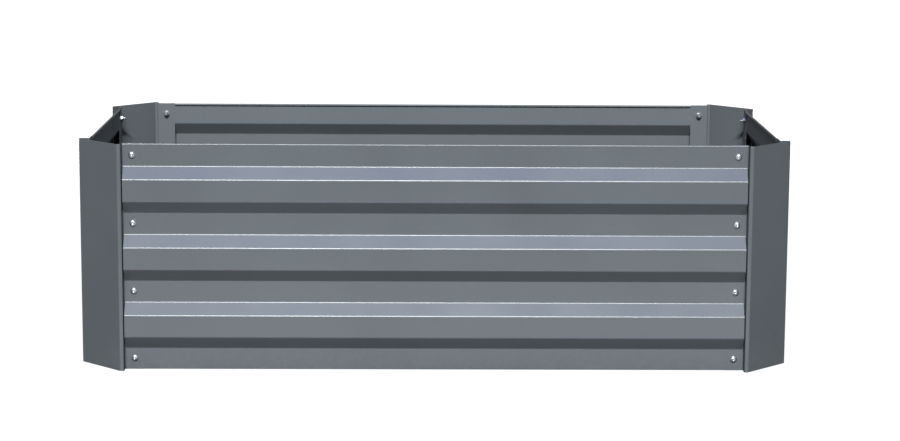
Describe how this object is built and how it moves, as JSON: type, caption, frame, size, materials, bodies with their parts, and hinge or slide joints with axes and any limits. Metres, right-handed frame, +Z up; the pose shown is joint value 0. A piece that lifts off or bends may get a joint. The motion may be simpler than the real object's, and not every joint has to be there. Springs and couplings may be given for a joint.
{
  "type": "raised garden bed",
  "caption": "Open-bottomed raised garden bed: ribbed sheet-steel panels screwed to folded, chamfered corner pieces.",
  "frame": {"origin": "on the ground, in the middle of the bed's outline", "axes": "+X along the length, +Y from front to back, +Z up"},
  "size_m": [1, 0.5, 0.32],
  "materials": {
    "panel_paint": "semi-gloss grey powder coat on formed steel sheet",
    "corner_paint": "semi-gloss grey powder coat on folded steel sheet",
    "screw_zinc": "bright zinc plate, turned and stamped",
    "nut_zinc": "bright zinc plate, cold formed"
  },
  "bodies": {
    "root": {"front_panel": "panel_paint", "back_panel": "panel_paint", "left_panel": "panel_paint", "right_panel": "panel_paint", "corner_front_left": "corner_paint", "corner_front_right": "corner_paint", "corner_back_right": "corner_paint", "corner_back_left": "corner_paint", "screws_front_left": "screw_zinc", "screws_front_right": "screw_zinc", "screws_right_front": "screw_zinc", "screws_right_back": "screw_zinc", "screws_back_right": "screw_zinc", "screws_back_left": "screw_zinc", "screws_left_back": "screw_zinc", "screws_left_front": "screw_zinc", "nuts_front_left": "nut_zinc", "nuts_front_right": "nut_zinc", "nuts_right_front": "nut_zinc", "nuts_right_back": "nut_zinc", "nuts_back_right": "nut_zinc", "nuts_back_left": "nut_zinc", "nuts_left_back": "nut_zinc", "nuts_left_front": "nut_zinc"}
  },
  "joints": []
}
